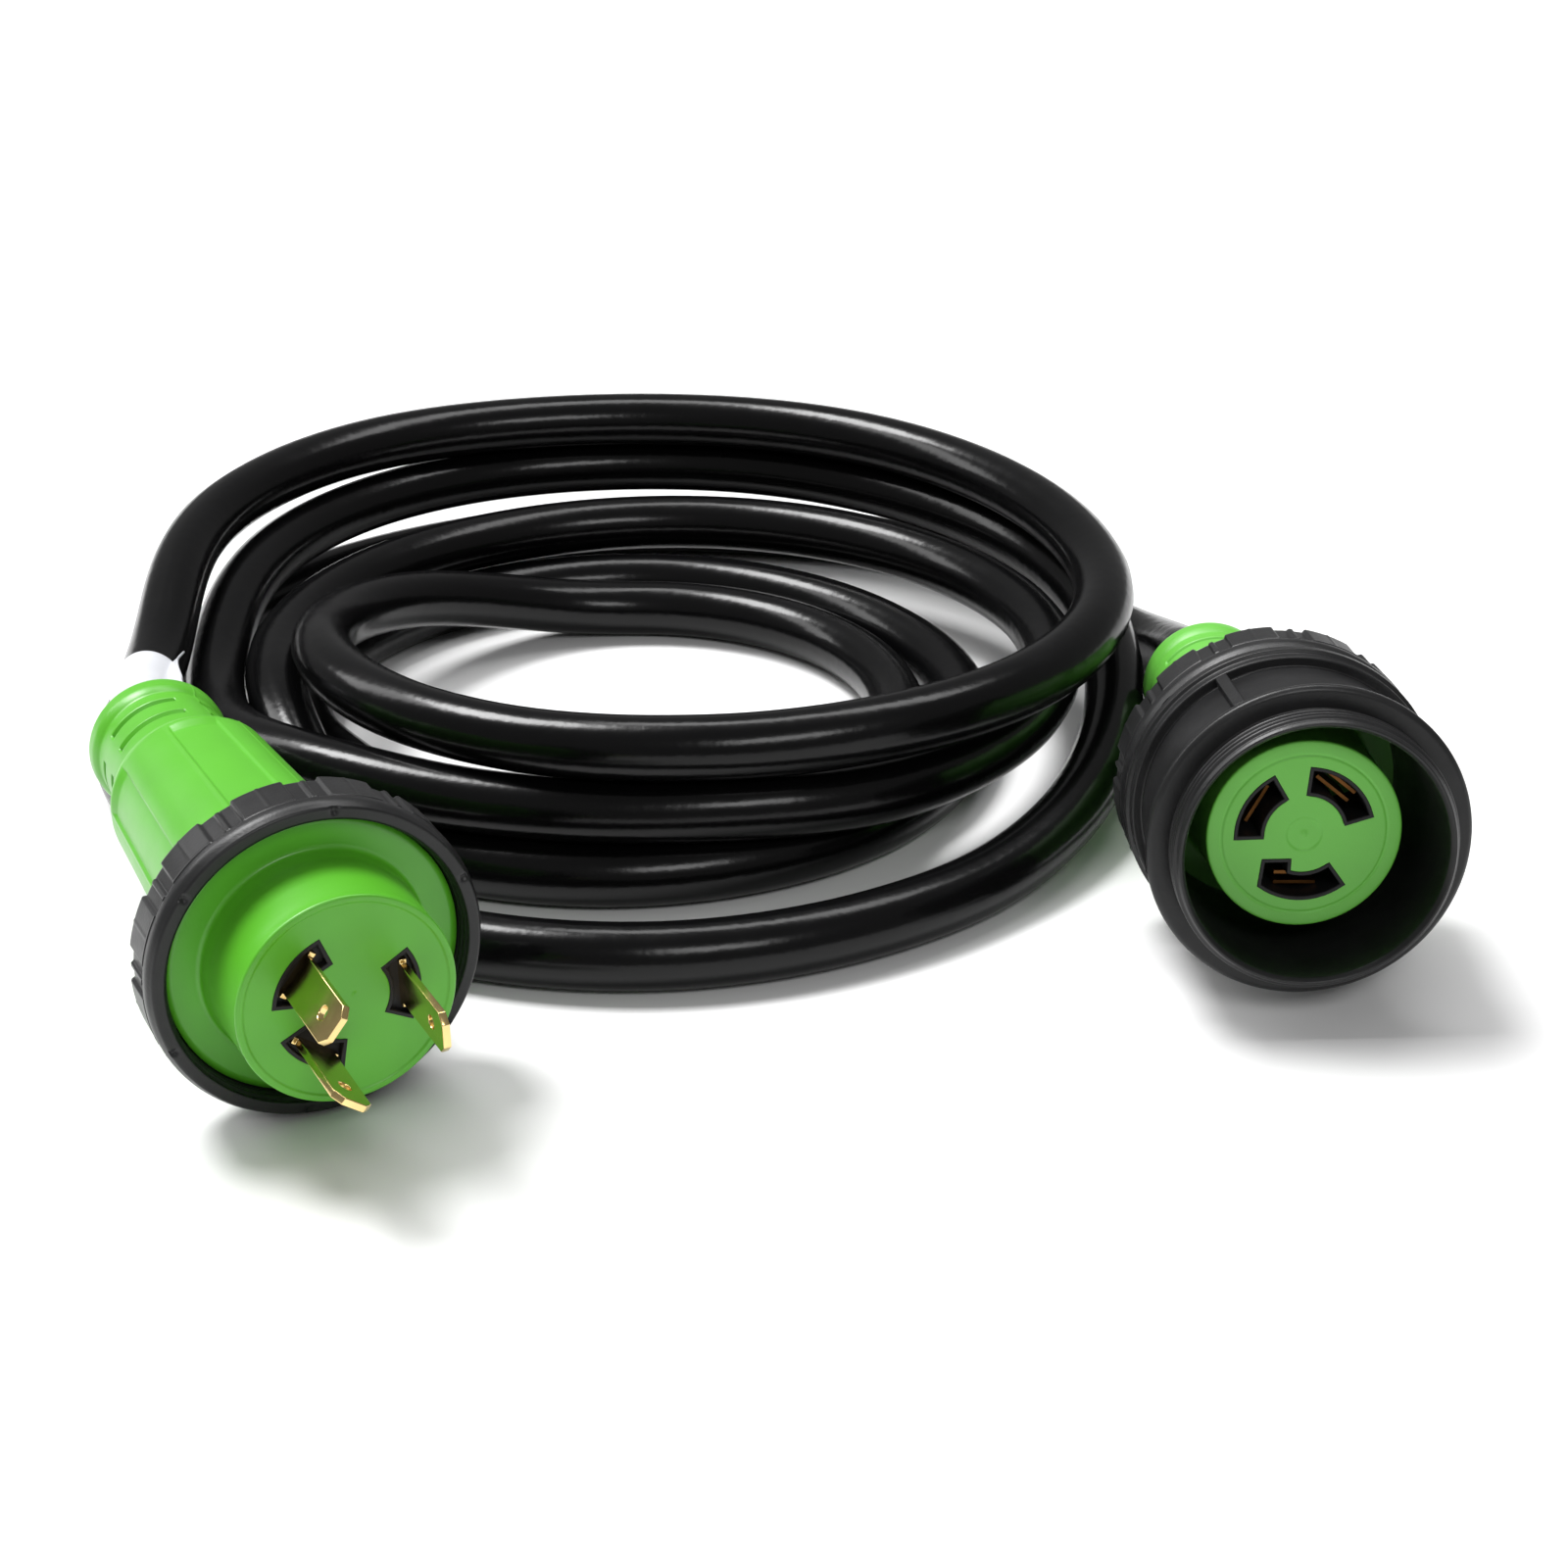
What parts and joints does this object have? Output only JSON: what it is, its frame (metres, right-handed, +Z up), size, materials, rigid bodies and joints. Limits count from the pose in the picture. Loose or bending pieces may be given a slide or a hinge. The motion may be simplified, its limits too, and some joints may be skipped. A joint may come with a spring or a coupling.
{
  "type": "shore power cord",
  "caption": "Heavy three-core shore power cord: a locking-blade plug and a matching connector with threaded locking rings and a screwed-on coupling sleeve, cable loosely coiled.",
  "frame": {"origin": "on the floor, under the middle of the box round the plug and connector", "axes": "+X from the plug towards the connector, -Y the way the faces of both ends look, +Z up"},
  "size_m": [0.3544, 0.384, 0.082],
  "materials": {
    "green_pvc": "satin",
    "black_nylon": "satin",
    "black_insert": "matte",
    "brass": "polished",
    "tinned_copper": "satin",
    "core_black": "satin",
    "core_white": "satin",
    "core_green": "satin",
    "cable_jacket": "gloss",
    "white_label": "satin"
  },
  "bodies": {
    "cordset": {"plug_body": "green_pvc", "plug_boss": "green_pvc", "plug_bridge": "black_insert", "plug_blade_line": "brass", "plug_blade_neutral": "brass", "plug_blade_ground": "brass", "plug_crimps": "tinned_copper", "plug_core_line": "core_black", "plug_core_neutral": "core_white", "plug_core_ground": "core_green", "connector_body": "green_pvc", "connector_carrier": "black_insert", "connector_contact_line": "brass", "connector_contact_neutral": "brass", "connector_contact_ground": "brass", "connector_crimps": "tinned_copper", "connector_core_line": "core_black", "connector_core_neutral": "core_white", "connector_core_ground": "core_green", "cable_label": "white_label", "cord_plug_tail": "cable_jacket", "cord_coil": "cable_jacket", "cord_connector_tail": "cable_jacket"},
    "plug_ring": {"plug_ring": "black_nylon"},
    "connector_ring": {"connector_ring": "black_nylon"},
    "coupling_sleeve": {"coupling_sleeve": "black_nylon"}
  },
  "joints": [
    {"name": "plug_ring_turn", "type": "hinge", "parent": "cordset", "child": "plug_ring", "pos_m": [-0.09175, -0.05744, 0.03816], "axis": [0.4693, -0.8826, 0.0262], "continuous": true},
    {"name": "connector_ring_turn", "type": "hinge", "parent": "cordset", "child": "connector_ring", "pos_m": [0.13272, 0.02142, 0.03855], "axis": [0.0346, -0.9897, 0.1392], "range_deg": [-1350, 0]},
    {"name": "sleeve_unscrew", "type": "slide", "parent": "cordset", "child": "coupling_sleeve", "axis": [0.0346, -0.9897, 0.1392], "range_m": [0, 0.0075]}
  ],
  "couplings": [
    {"joint": "sleeve_unscrew", "follows": "connector_ring_turn", "m_per_rad": -0.00031831}
  ]
}
